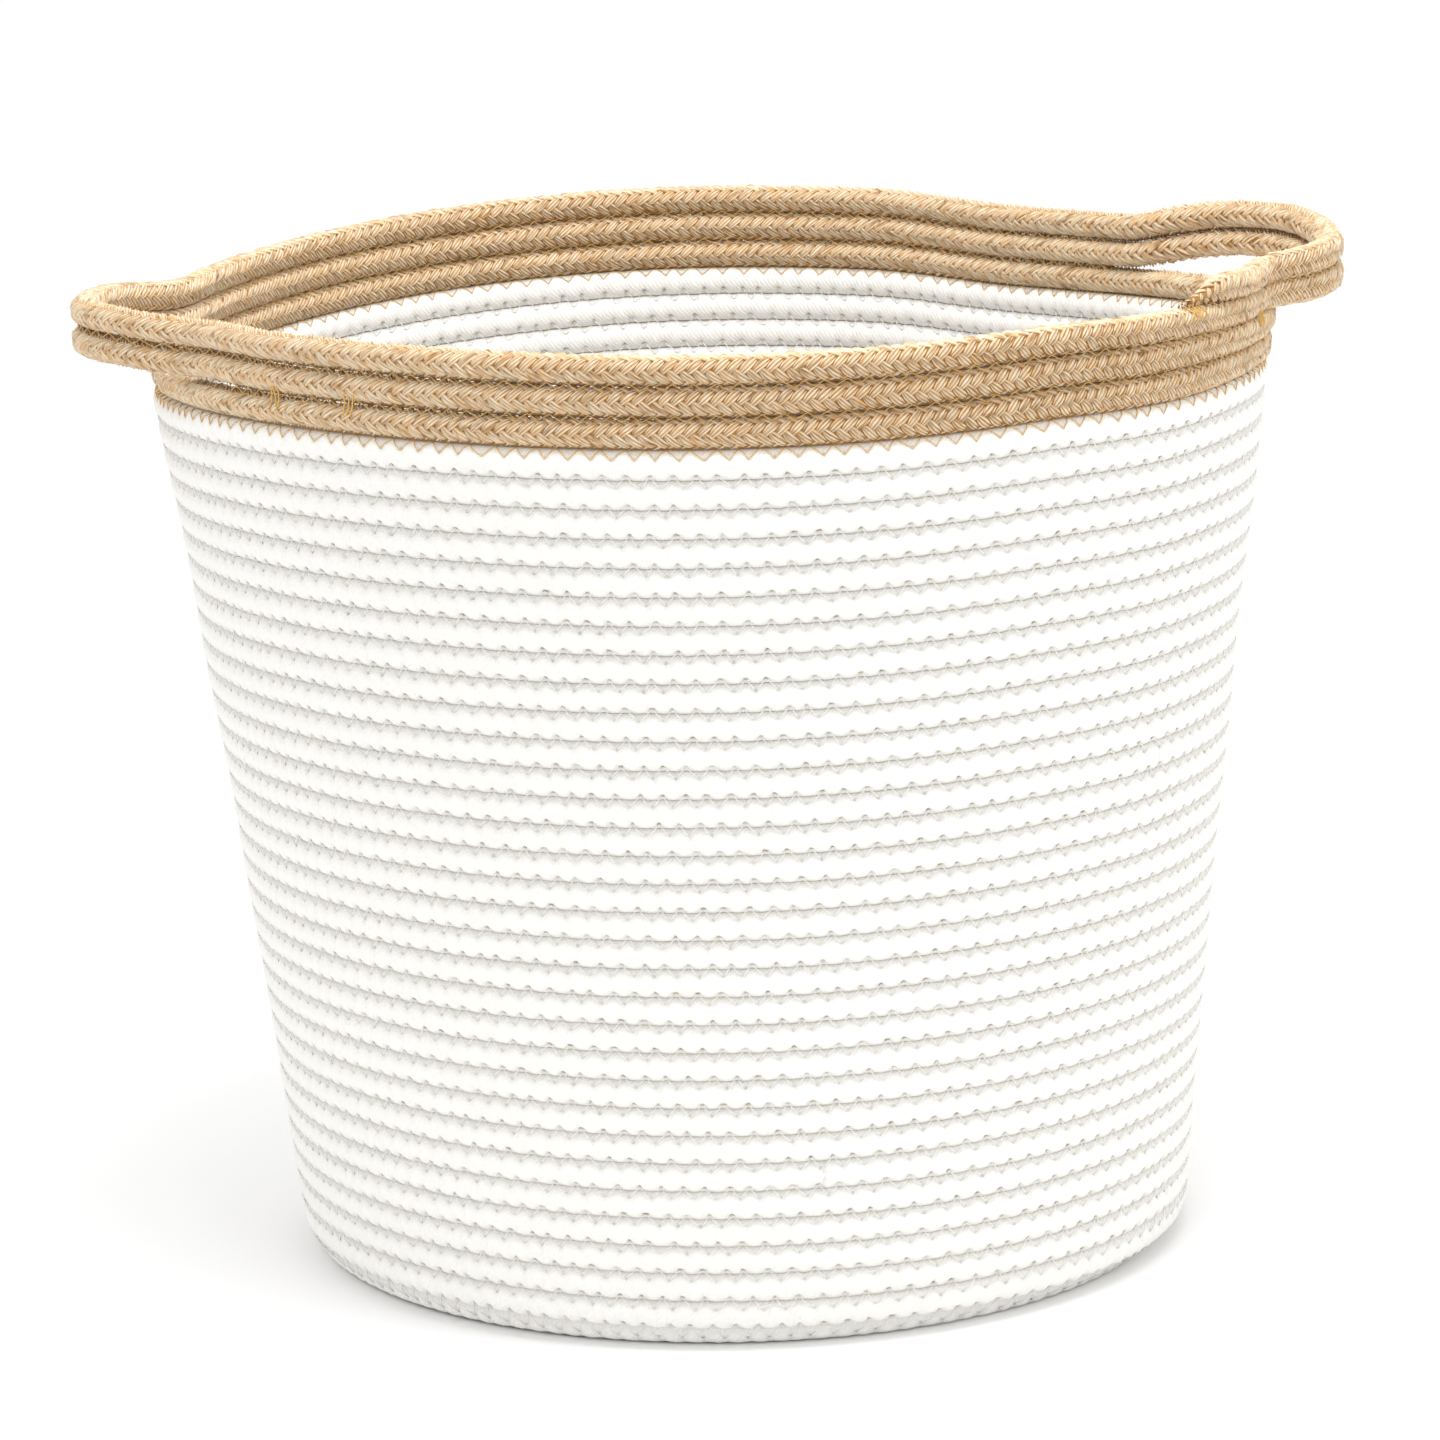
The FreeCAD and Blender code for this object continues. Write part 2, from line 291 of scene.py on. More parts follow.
def tailGirth(turns):
    # the rope's last end thins out
    return 1 - jute["tailThin"] * smooth((turns - (juteTurns - jute["tailTurns"])) / jute["tailTurns"])


def jutePoint(turns):
    # turns counted from the jute's start under the right handle
    angle = -2 * math.pi * turns
    z = wallHeight + jute["pitch"] * turns
    stand = np.zeros_like(turns)
    for middle, side in ((1.5, "left"), (2.0, "right"), (2.5, "left"), (3.0, "right")):
        loop = loopShape(2 * math.pi * (turns - middle)) * (np.abs(turns - middle) < 0.2)
        hand = handles[side]
        stand += loop * hand["reach"]
        z = z + loopRise * hand["rise"] * smooth(loop / loopReach)
        past = 360 * (turns - middle)
        rising = smooth((past + hand["liftFrom"]) / hand["liftOver"])
        fading = 1 - smooth((past + liftFade["from"]) / liftFade["over"])
        z = z + hand["lift"] * rising * fading
    stand += jute["stepOut"] * np.exp(-((turns - 1.0) / jute["stepTurns"]) ** 2)
    stand += jute["startOut"] * np.exp(-(turns / jute["startTurns"]) ** 2)
    z = z - juteRadius * jute["tailDrop"] * (1 - tailGirth(turns))
    r = rimRadius + stand
    return np.stack([r * np.cos(angle), r * np.sin(angle), z], -1)


def juteFrame(turns):
    # the rope's middle and its forward, outer and upper directions
    step = 1e-5
    point = jutePoint(turns)
    along = unit(jutePoint(turns + step) - jutePoint(turns - step))
    up = np.broadcast_to(np.array([0, 0, 1.0]), along.shape)
    out = unit(np.cross(along, up))
    out *= np.sign((out * point * [1, 1, 0]).sum(-1, keepdims=True))
    square = np.cross(out, along)
    return point, along, out, unit(square * np.sign(square[:, 2:3]))


# The cotton rope
# Every stitch pulls the skin in: once low on the row, where the needle came through, and once
# high on it, where the stitches of the row above come through.

skin = {
    "halfWidth": 0.0055,      # out from the middle
    "halfHeight": 0.00528,    # up from the middle; rows press into each other
    "squareness": 2.6,        # 2 is an ellipse, more is fuller
    "stitch": 0.0076,         # needle step along the rope
    "stitchSlip": 0.16,       # unevenness of the steps, in stitches
    "holeAngle": 37.0,        # from straight out
    "holeDepth": 0.0009,
    "holeSpread": 0.19,       # along the rope, in stitches
    "holeReach": 0.30,        # round the rope, in radians
    "upperShare": 0.8,        # depth of the upper holes against the lower ones
    "pinch": 0.00034,         # skin drawn in along the groove at each stitch
    "pinchSpread": 0.33,
    "pinchReach": 0.75,
    "uneven": 0.012,          # the rope's width comes and goes, share
    "perStitch": 5,           # rings of points in each stitch
    "around": 14,
    "basePerStitch": 4,       # fewer on the base
    "baseAround": 12,
}
measuring = {"rope": 6000, "piece": 4000, "jute": 20000}    # steps in which lengths are added up


def ropeLength(turns):
    # length of rope up to each turn, from the base's middle
    grid = np.linspace(0, cottonTurns + 1.2, measuring["rope"])
    r = cottonProfile(grid * rowRise)[0]
    length = np.concatenate([[0], np.cumsum((r[1:] + r[:-1]) / 2 * 2 * math.pi * np.diff(grid))])
    return np.interp(turns, grid, length)


def stitchPhase(turns):
    # stitches run evenly apart from small slips of the hand
    slip = skin["stitchSlip"] * ripple(turns * 40, 1.7)
    return ropeLength(turns) / skin["stitch"] + slip + 0.10 * ripple(turns * 151, 0.4)


def dent(phase, spread):
    # 1 at every whole stitch, fading to 0 between
    away = np.abs((phase + 0.5) % 1.0 - 0.5)
    return np.exp(-(away / spread) ** 2)


def skinRings(turns, around):
    # the rope's outline at every turn, drawn in at the stitches, and the stitch phases
    v = np.arange(around) * 2 * math.pi / around + 2 * math.pi / around / 2
    low = stitchPhase(turns)[:, None]
    high = stitchPhase(turns + 1)[:, None] + 0.5
    power = 2 / skin["squareness"]
    c = np.sign(np.cos(v)) * np.abs(np.cos(v)) ** power
    s = np.sign(np.sin(v)) * np.abs(np.sin(v)) ** power
    hole = math.radians(skin["holeAngle"])
    depth = np.zeros((len(turns), around))
    pinch = np.zeros((len(turns), around))
    for side, way in ((0.0, 1), (math.pi, -1)):
        toLow = wrapped(v - (side - way * hole))
        toHigh = wrapped(v - (side + way * hole))
        lowHole = dent(low, skin["holeSpread"]) * np.exp(-(toLow / skin["holeReach"]) ** 2)
        highHole = dent(high, skin["holeSpread"]) * np.exp(-(toHigh / skin["holeReach"]) ** 2)
        depth += lowHole * skin["holeDepth"]
        depth += highHole * skin["holeDepth"] * skin["upperShare"]
        pinch += dent(low, skin["pinchSpread"]) * np.exp(-(toLow / skin["pinchReach"]) ** 2) * skin["pinch"]
        pinch += dent(high, skin["pinchSpread"]) * np.exp(-(toHigh / skin["pinchReach"]) ** 2) * skin["pinch"]
    uneven = 1 + skin["uneven"] * ripple(turns * 61, 3.1)[:, None]
    shrink = 1 - (depth + pinch) / skin["halfHeight"]
    outs = skin["halfWidth"] * c * uneven * shrink
    ups = skin["halfHeight"] * s * shrink
    return np.stack([outs, ups], -1), v, low, high


def cottonPiece(name, start, end, around, perStitch):
    # the rope between two turns, with its own length and the stitches kept on its points
    total = ropeLength(end) - ropeLength(start)
    count = int(total / skin["stitch"] * perStitch)
    grid = np.linspace(start, end, measuring["piece"])
    turns = np.interp(np.linspace(0, total, count), ropeLength(grid) - ropeLength(start), grid)
    point, out, up = cottonFrame(turns)
    rings, v, low, high = skinRings(turns, around)
    points, faces = tube(point, out, up, rings)
    lengths = np.repeat(ropeLength(turns), around)
    side = np.tile(v, len(turns))
    straight = np.stack([lengths, skin["halfWidth"] * np.cos(side), skin["halfHeight"] * np.sin(side)], -1)
    phases = np.stack([np.repeat(low, around), np.repeat(high, around), np.zeros(len(side))], -1)
    straight = np.vstack([straight, straight[:1] * [1, 0, 0], straight[-1:] * [1, 0, 0]])
    phases = np.vstack([phases, phases[:1], phases[-1:]])
    points = relax(points)
    points[:, 2] = np.maximum(points[:, 2], 0)
    return meshObject(name, points, faces, {"straight": straight, "stitches": phases})


wallStart = cottonTurns - cotton["wallTurns"]
edges = np.linspace(wallStart, cottonTurns, cotton["bands"] + 1)
baseCoil = cottonPiece("base_coil", cotton["baseStart"], wallStart, skin["baseAround"], skin["basePerStitch"])
wallBands = []
for n in range(cotton["bands"]):
    piece = cottonPiece("wall_rows_" + str(n + 1), edges[n], edges[n + 1], skin["around"], skin["perStitch"])
    wallBands.append(piece)
print("cotton rope made:", round(cottonTurns, 2), "turns")


# Node helpers

def feed(tree, socket, value):
    # a socket takes another node's output as a link, and anything else as its value
    if isinstance(value, bpy.types.NodeSocket):
        tree.links.new(value, socket)
    else:
        socket.default_value = value


def addNode(tree, kind, values=None, **settings):
    # a node with its settings, and its inputs by name or number
    node = tree.nodes.new(kind)
    for key, value in settings.items():
        setattr(node, key, value)
    for key, value in (values or {}).items():
        feed(tree, node.inputs[key], value)
    return node


def mathNode(tree, operation, *values):
    return addNode(tree, "ShaderNodeMath", dict(enumerate(values)), operation=operation).outputs[0]


def newTree(name, inputs):
    tree = bpy.data.node_groups.new(name, "GeometryNodeTree")
    tree.interface.new_socket("Geometry", in_out="INPUT", socket_type="NodeSocketGeometry")
    tree.interface.new_socket("Geometry", in_out="OUTPUT", socket_type="NodeSocketGeometry")
    for label, kind in inputs:
        tree.interface.new_socket(label, in_out="INPUT", socket_type="NodeSocket" + kind)
    return tree, tree.nodes.new("NodeGroupInput").outputs, tree.nodes.new("NodeGroupOutput").inputs


def finishTree(tree, given, made, shape):
    # every tree ends with its instances made real and its material set
    solid = addNode(tree, "GeometryNodeRealizeInstances", {"Geometry": shape})
    paint = addNode(tree, "GeometryNodeSetMaterial", {
        "Geometry": solid.outputs["Geometry"], "Material": given["Material"]})
    feed(tree, made["Geometry"], paint.outputs["Geometry"])
    return tree


def named(tree, label, kind="FLOAT_VECTOR"):
    node = addNode(tree, "GeometryNodeInputNamedAttribute", {"Name": label}, data_type=kind)
    return node.outputs["Attribute"]


def randomNode(tree, seed, low, high):
    # a random number, or a vector, between two
    isVector = isinstance(low, tuple)
    first = 0 if isVector else 2
    node = addNode(tree, "FunctionNodeRandomValue", {first: low, first + 1: high, "Seed": seed},
                   data_type="FLOAT_VECTOR" if isVector else "FLOAT")
    return node.outputs[0 if isVector else 1]


def runTree(source, tree, values, name):
    # the tree's result as a plain mesh object; the source is removed
    modifier = source.modifiers.new("build", "NODES")
    modifier.node_group = tree
    for item in tree.interface.items_tree:
        if item.item_type == "SOCKET" and item.in_out == "INPUT" and item.name in values:
            modifier[item.identifier] = values[item.name]
    depsgraph = bpy.context.evaluated_depsgraph_get()
    mesh = bpy.data.meshes.new_from_object(source.evaluated_get(depsgraph))
    mesh.name = name
    result = bpy.data.objects.new(name, mesh)
    bpy.context.scene.collection.objects.link(result)
    bpy.data.objects.remove(source)
    return result


def threadTree():
    # a line through the stitch points becomes a round thread
    tree, given, made = newTree("sew_thread", [
        ("Radius", "Float"), ("Sides", "Int"), ("Material", "Material")])
    curve = addNode(tree, "GeometryNodeMeshToCurve", {"Mesh": given["Geometry"]})
    profile = addNode(tree, "GeometryNodeCurvePrimitiveCircle", {
        "Resolution": given["Sides"], "Radius": given["Radius"]})
    sweep = addNode(tree, "GeometryNodeCurveToMesh", {
        "Curve": curve.outputs["Curve"], "Profile Curve": profile.outputs["Curve"], "Fill Caps": True})
    return finishTree(tree, given, made, sweep.outputs["Mesh"])


def braidTree():
    # every path point gets one strand arm per sector; neighbours lean opposite ways
    tree, given, made = newTree("braid_rope", [
        ("Arm", "Object"), ("Sectors", "Int"), ("Radius", "Float"), ("Slant", "Float"), ("Step", "Float"),
        ("Seed", "Int"), ("Material", "Material")])

    def calc(operation, *values):
        return mathNode(tree, operation, *values)

    def vec(operation, a, b):
        second = "Scale" if operation == "SCALE" else 1
        node = addNode(tree, "ShaderNodeVectorMath", {0: a, second: b}, operation=operation)
        return node.outputs["Vector"]

    points = addNode(tree, "GeometryNodeMeshToPoints", {"Mesh": given["Geometry"]})
    spread = addNode(tree, "GeometryNodeDuplicateElements", {
        "Geometry": points.outputs["Points"], "Amount": given["Sectors"]}, domain="POINT")
    sector = spread.outputs["Duplicate Index"]
    share = calc("DIVIDE", calc("ADD", sector, 0.5), given["Sectors"])
    angle = calc("ADD", calc("MULTIPLY", share, 2 * math.pi), named(tree, "roll", "FLOAT"))
    along = named(tree, "along")
    out = named(tree, "out")
    up = named(tree, "up")
    girth = named(tree, "girth", "FLOAT")
    facing = vec("ADD", vec("SCALE", out, calc("COSINE", angle)), vec("SCALE", up, calc("SINE", angle)))
    aside = vec("CROSS_PRODUCT", along, facing)
    parity = calc("SUBTRACT", calc("MULTIPLY", calc("MODULO", sector, 2), 2), 1)
    jitter = randomNode(tree, given["Seed"], -braid["jitter"], braid["jitter"])
    slant = calc("ADD", given["Slant"], jitter)
    heading = vec("ADD", vec("SCALE", along, calc("COSINE", slant)),
                  vec("SCALE", aside, calc("MULTIPLY", calc("SINE", slant), parity)))
    quarter = calc("MULTIPLY", parity, 0.25)
    shift = vec("SCALE", along, calc("MULTIPLY", quarter, given["Step"]))
    place = vec("ADD", vec("SCALE", facing, calc("MULTIPLY", given["Radius"], girth)), shift)
    move = addNode(tree, "GeometryNodeSetPosition", {"Geometry": spread.outputs["Geometry"], "Offset": place})
    turn = addNode(tree, "FunctionNodeAxesToRotation", {"Primary Axis": facing, "Secondary Axis": heading},
                   primary_axis="Z", secondary_axis="X")
    arm = addNode(tree, "GeometryNodeObjectInfo", {"Object": given["Arm"]})
    size = randomNode(tree, given["Seed"], braid["smallest"], braid["largest"])
    put = addNode(tree, "GeometryNodeInstanceOnPoints", {
        "Points": move.outputs["Geometry"], "Instance": arm.outputs["Geometry"],
        "Rotation": turn.outputs["Rotation"], "Scale": vec("SCALE", size, girth)})
    tone = randomNode(tree, given["Seed"], 0.0, 1.0)
    keep = addNode(tree, "GeometryNodeStoreNamedAttribute", {
        "Geometry": put.outputs["Instances"], "Name": "tone", "Value": tone},
        data_type="FLOAT", domain="INSTANCE")
    return finishTree(tree, given, made, keep.outputs["Geometry"])


def hairTree():
    # loose fibres scattered over the faces of a rope, each turned its own way
    tree, given, made = newTree("loose_fibres", [
        ("Hair", "Object"), ("Density", "Float"), ("Seed", "Int"), ("Material", "Material")])
    scatter = addNode(tree, "GeometryNodeDistributePointsOnFaces", {
        "Mesh": given["Geometry"], "Density": given["Density"], "Seed": given["Seed"]})
    tilt = braid["hairTilt"]
    spin = randomNode(tree, given["Seed"], (-tilt, -tilt, 0.0), (tilt, tilt, 2 * math.pi))
    swing = addNode(tree, "FunctionNodeEulerToRotation", {"Euler": spin})
    turn = addNode(tree, "FunctionNodeRotateRotation", {
        "Rotation": scatter.outputs["Rotation"], "Rotate By": swing.outputs["Rotation"]},
        rotation_space="LOCAL")
    hair = addNode(tree, "GeometryNodeObjectInfo", {"Object": given["Hair"]})
    put = addNode(tree, "GeometryNodeInstanceOnPoints", {
        "Points": scatter.outputs["Points"], "Instance": hair.outputs["Geometry"],
        "Rotation": turn.outputs["Rotation"],
        "Scale": randomNode(tree, given["Seed"], braid["hairShortest"], braid["hairLongest"])})
    return finishTree(tree, given, made, put.outputs["Instances"])


# Materials

def newMaterial(name):
    material = bpy.data.materials.new(name)
    material.use_nodes = True
    shader = material.node_tree.nodes["Principled BSDF"]
    shader.inputs["Specular IOR Level"].default_value = 0.25
    return material, material.node_tree, shader


def attribute(tree, label, output):
    return addNode(tree, "ShaderNodeAttribute", attribute_name=label).outputs[output]


def noiseNode(tree, source, scale, detail, stretch=(1, 1, 1)):
    mapping = addNode(tree, "ShaderNodeMapping", {"Vector": source, "Scale": stretch})
    return addNode(tree, "ShaderNodeTexNoise", {
        "Vector": mapping.outputs["Vector"], "Scale": scale, "Detail": detail}).outputs["Fac"]


def mixColour(tree, share, a, b):
    # each colour is a tuple or another node's output
    a, b = [(*colour, 1) if isinstance(colour, tuple) else colour for colour in (a, b)]
    return addNode(tree, "ShaderNodeMix", {0: share, 6: a, 7: b}, data_type="RGBA").outputs[2]


def finishShader(tree, shader, look, colour, height, strength):
    # colour, bump of the height that the look gives, roughness and sheen
    bump = addNode(tree, "ShaderNodeBump", {
        "Strength": strength, "Distance": look["relief"], "Height": height})
    feed(tree, shader.inputs["Base Color"], colour)
    feed(tree, shader.inputs["Normal"], bump.outputs["Normal"])
    shader.inputs["Roughness"].default_value = look["roughness"]
    shader.inputs["Sheen Weight"].default_value = look["sheen"]
    shader.inputs["Sheen Roughness"].default_value = look["sheenRoughness"]


cottonLook = {
    "colour": (0.925, 0.915, 0.885),
    # grey for the random cloudy and wrinkle tone, and for the painted shade on the rows' flanks
    "shade": (0.80, 0.775, 0.725),
    # brown-grey painted shade for the needle holes
    "hole": (0.36, 0.28, 0.18),
    "lowHole": (0.090, 0.16),       # size of a needle hole: stitches along, radians round
    "highHole": (0.060, 0.11),
    "ribPitch": 0.0017,       # fine diagonal knit
    "relief": 0.00035,        # height of ribs and wrinkles
    "wrinkles": (620, 240, 240),    # noise sizes, per metre
    "fuzz": 2400,
    "clouds": 9,
    "patches": 70,
    "roughness": 0.93,
    "sheen": 0.25,
    "sheenRoughness": 0.6,
}


def cottonMaterial():
    # ribbed white skin, with painted shade on the rows' lower flanks and near the groove at their tops, and
    # painted shade in the needle holes at the stitches
    look = cottonLook
    material, tree, shader = newMaterial("cotton_rope")

    def calc(operation, *values):
        return mathNode(tree, operation, *values)

    straight = attribute(tree, "straight", "Vector")
    split = addNode(tree, "ShaderNodeSeparateXYZ", {0: attribute(tree, "stitches", "Vector")})
    place = addNode(tree, "ShaderNodeSeparateXYZ", {0: straight})
    side = calc("ARCTAN2", place.outputs["Z"], calc("ABSOLUTE", place.outputs["Y"]))
    hole = math.radians(skin["holeAngle"])

    def holeMask(phase, atAngle, holeSize):
        along, across = holeSize
        shifted = calc("FRACT", calc("ADD", phase, 0.5))
        x = calc("DIVIDE", calc("SUBTRACT", shifted, 0.5), along)
        y = calc("DIVIDE", calc("SUBTRACT", side, atAngle), across)
        squared = calc("ADD", calc("MULTIPLY", x, x), calc("MULTIPLY", y, y))
        return calc("EXPONENT", calc("MULTIPLY", squared, -1.0))

    # painted shade in the needle holes: a dark spot at each low hole and a fainter one at each high hole, of
    # uneven strength
    patchy = noiseNode(tree, straight, look["patches"], 1)
    strong = calc("MULTIPLY", holeMask(split.outputs["X"], -hole, look["lowHole"]),
                  calc("MULTIPLY_ADD", patchy, 2.4, -0.35))
    faint = calc("MULTIPLY", holeMask(split.outputs["Y"], hole, look["highHole"]),
                 calc("MULTIPLY_ADD", patchy, 1.5, -0.40))
    holes = calc("MINIMUM", calc("ADD", strong, faint), 1.0)

    wrinkle = noiseNode(tree, straight, 1.0, 2, look["wrinkles"])
    fuzz = noiseNode(tree, straight, look["fuzz"], 2)
    slow = noiseNode(tree, straight, look["clouds"], 2)
    arc = calc("MULTIPLY", side, skin["halfHeight"])
    slanted = calc("MULTIPLY_ADD", arc, 0.9, place.outputs["X"])
    wave = calc("MULTIPLY_ADD", slanted, 2 * math.pi / look["ribPitch"], calc("MULTIPLY", wrinkle, 6.0))
    ribs = calc("MULTIPLY_ADD", calc("SINE", wave), 0.5, 0.5)
    # painted shade: the lower flank of each row, and a strip near the groove at its top, are greyed as light
    # from above would leave them
    under = calc("MULTIPLY_ADD", place.outputs["Z"], -1.7 / skin["halfHeight"], -0.55)
    over = calc("MULTIPLY_ADD", place.outputs["Z"], 2.2 / skin["halfHeight"], -1.55)
    paintedFlankShade = calc("MAXIMUM", calc("MAXIMUM", under, over), 0.0)
    paintedFlankShade = calc("MULTIPLY", calc("MINIMUM", paintedFlankShade, 1.0), calc("MULTIPLY_ADD", wrinkle, 1.0, -0.10))
    colour = mixColour(tree, calc("MULTIPLY", slow, 0.25), look["colour"], look["shade"])
    colour = mixColour(tree, calc("MULTIPLY_ADD", wrinkle, 0.55, -0.20), colour, look["shade"])
    # painted shade on the flanks
    colour = mixColour(tree, calc("MINIMUM", paintedFlankShade, 0.9), colour, look["shade"])
    colour = mixColour(tree, holes, colour, look["hole"])
    height = calc("MULTIPLY_ADD", ribs, 0.35, calc("MULTIPLY", fuzz, 0.30))
    height = calc("MULTIPLY_ADD", wrinkle, 1.3, height)
    height = calc("SUBTRACT", height, calc("MULTIPLY", holes, 1.2))
    finishShader(tree, shader, look, colour, height, 0.9)
    return material


threadLook = {"twist": 1700, "relief": 0.0002, "sheen": 0.2, "sheenRoughness": 0.5}


def threadMaterial(name, colour, deep, roughness):
    # a fine spun thread, mottled by its twist
    material, tree, shader = newMaterial(name)
    place = tree.nodes.new("ShaderNodeTexCoord").outputs["Object"]
    twist = noiseNode(tree, place, threadLook["twist"], 2)
    look = {**threadLook, "roughness": roughness}
    finishShader(tree, shader, look, mixColour(tree, twist, deep, colour), twist, 0.6)
    return material


juteLook = {
    "colour": (0.880, 0.520, 0.225),
    "pale": (1.000, 0.860, 0.640),
    # dark brown for the deeper strands, and for the painted shade between yarns
    "deep": (0.330, 0.150, 0.030),
    "fibres": (300, 3300, 900),     # noise along, across and through an arm, per metre
    "strands": (150, 1100, 500),
    "relief": 0.00030,
    "roughness": 0.78,
    "sheen": 0.08,
    "sheenRoughness": 0.45,
}


def juteMaterial():
    # fibres and coarser strands drawn along every arm, each arm of its own tone, with painted shade between
    # the yarns and at the arms' edges and ends
    look = juteLook
    material, tree, shader = newMaterial("jute_rope")

    def calc(operation, *values):
        return mathNode(tree, operation, *values)

    place = attribute(tree, "armSpace", "Vector")
    tone = attribute(tree, "tone", "Fac")
    height = attribute(tree, "armHeight", "Fac")
    offset = addNode(tree, "ShaderNodeCombineXYZ", {
        0: calc("MULTIPLY", tone, 37.0), 1: calc("MULTIPLY", tone, 11.0)})
    moved = addNode(tree, "ShaderNodeVectorMath", {0: place, 1: offset.outputs[0]}, operation="ADD")
    fibres = noiseNode(tree, moved.outputs[0], 1.0, 3, look["fibres"])
    strands = noiseNode(tree, moved.outputs[0], 1.0, 1, look["strands"])
    light = calc("MULTIPLY_ADD", fibres, 4.4, -1.60)
    colour = mixColour(tree, light, look["colour"], look["pale"])
    colour = mixColour(tree, calc("MULTIPLY_ADD", strands, -4.5, 2.05), colour, look["deep"])
    colour = mixColour(tree, calc("MULTIPLY", tone, 0.30), colour, look["pale"])
    # painted shade: darker where the arm's surface lies low, between yarns and at its edges and ends
    paintedValleyShade = calc("MULTIPLY_ADD", height, -1.45, 0.97)
    colour = mixColour(tree, paintedValleyShade, colour, look["deep"])
    both = calc("ADD", fibres, calc("MULTIPLY", strands, 0.8))
    finishShader(tree, shader, look, colour, both, 1.0)
    return material


cottonPaint = cottonMaterial()
whitePaint = threadMaterial("cotton_thread", (0.93, 0.92, 0.90), (0.78, 0.76, 0.72), 0.75)
jutePaint = juteMaterial()
tanPaint = threadMaterial("tan_thread", (0.86, 0.56, 0.16), (0.55, 0.32, 0.07), 0.6)
# painted shade: the dark core fills the gaps between arms and rows where shade would fall
coreShadePaint = threadMaterial("jute_core_shade", (0.50, 0.27, 0.07), (0.22, 0.10, 0.02), 0.9)
hairPaint = threadMaterial("loose_fibre", (1.0, 0.84, 0.56), (0.84, 0.56, 0.28), 0.7)
for piece in [baseCoil] + wallBands:
    piece.data.materials.append(cottonPaint)
print("materials made")


# The braided jute rope

braid = {
    "sectors": 6,             # columns of arms round the rope
    "step": 0.0043,           # from chevron to chevron
    "slant": 40.0,            # degrees between an arm and the rope
    "jitter": 0.07,           # radians by which an arm's slant may be off
    "smallest": (0.94, 0.92, 0.85),
    "largest": (1.06, 1.08, 1.20),
    "roll": 0.10,             # slow twist of the whole braid, radians
    "armLength": 0.0078,
    "armWidth": 0.00335,
    "armHeight": 0.00125,
    "tuck": 0.0009,           # how deep an arm's ends go under their neighbours
    "seat": 0.00410,          # radius on which the arms lie
    "core": 0.00415,          # filling under them, painted dark as the shade in the gaps between arms and rows
    "coreSides": 16,
    "coreShort": 0.005,       # turns by which the filling stops before the rope's end
    "keel": 0.00135,          # how much further the filling reaches down, onto the row below
    "hairs": 30000,           # loose fibres on a square metre of arm
    "hairLength": 0.0034,
    "hairRadius": 0.00006,
    "hairTilt": 0.35,         # radians
    "hairShortest": 0.35,     # shares of the length
    "hairLongest": 1.15,
}


def armObject():
    # a flat bundle of three yarns, bowed over the rope, ends tucked in
    ridges = [(-1.0, -0.2), (-0.68, 0.82), (-0.35, 0.16), (0.0, 1.0), (0.35, 0.16), (0.68, 0.82),
              (1.0, -0.2), (0.0, -0.5)]
    stations = [-1.0, -0.66, -0.20, 0.30, 0.75, 1.0]
    widths = [0.35, 0.82, 1.0, 1.0, 0.74, 0.30]
    around = math.radians(braid["slant"])
    points, local, heights = [], [], []
    for x, w in zip(stations, widths):
        length = x * braid["armLength"] / 2
        sink = (length * math.sin(around)) ** 2 / (2 * braid["seat"])
        sink += braid["tuck"] * max(abs(x) - 0.45, 0) ** 1.2
        for y, h in ridges:
            wide = y * braid["armWidth"] / 2 * w
            over = (wide * math.cos(around)) ** 2 / (2 * braid["seat"])
            points.append((length, wide, h * braid["armHeight"] * (0.55 + 0.45 * w) - sink - over))
            local.append((length, y * braid["armWidth"] / 2, h * 0.001))
            # each point's share of the ridge height, which the jute paint turns into painted shade where it
            # is low
            heights.append(np.clip(h, 0, 1) * (0.45 + 0.55 * w))
    n = len(ridges)
    faces = []
    for i in range(len(stations) - 1):
        for j in range(n):
            k = (j + 1) % n
            faces.append([i * n + j, i * n + n + j, i * n + n + k, i * n + k])
    faces.append(list(range(n)))
    faces.append(list(range(n * len(stations) - 1, n * len(stations) - n - 1, -1)))
    return meshObject("arm_shape", np.array(points), faces,
                      {"armSpace": np.array(local), "armHeight": np.array(heights)})


def hairObject():
    # one loose fibre, rooted in the rope and curling away from it
    share = np.linspace(0, 1, 5)
    spine = np.stack([share, 0.30 * share ** 2, 0.02 + 0.34 * share - 0.10 * share ** 3], -1)
    spine *= braid["hairLength"]
    spine[0, 2] = -0.0003
    v = np.arange(3) * 2 * math.pi / 3
    girth = braid["hairRadius"] * (1 - 0.5 * share)
    ring = np.stack([np.cos(v), np.sin(v)], -1)[None] * girth[:, None, None]
    sideways = np.tile([0.0, -1.0, 0.0], (len(share), 1))
    upright = np.tile([0.0, 0.0, 1.0], (len(share), 1))
    points, faces = tube(spine, sideways, upright, ring)
    return meshObject("hair_shape", points, faces)


def juteLengths():
    # turns, and the length of rope up to each
    grid = np.linspace(-0.05, juteTurns + 0.05, measuring["jute"])
    p = jutePoint(grid)
    return grid, np.concatenate([[0], np.cumsum(np.linalg.norm(np.diff(p, axis=0), axis=1))])


juteGrid, juteLength = juteLengths()


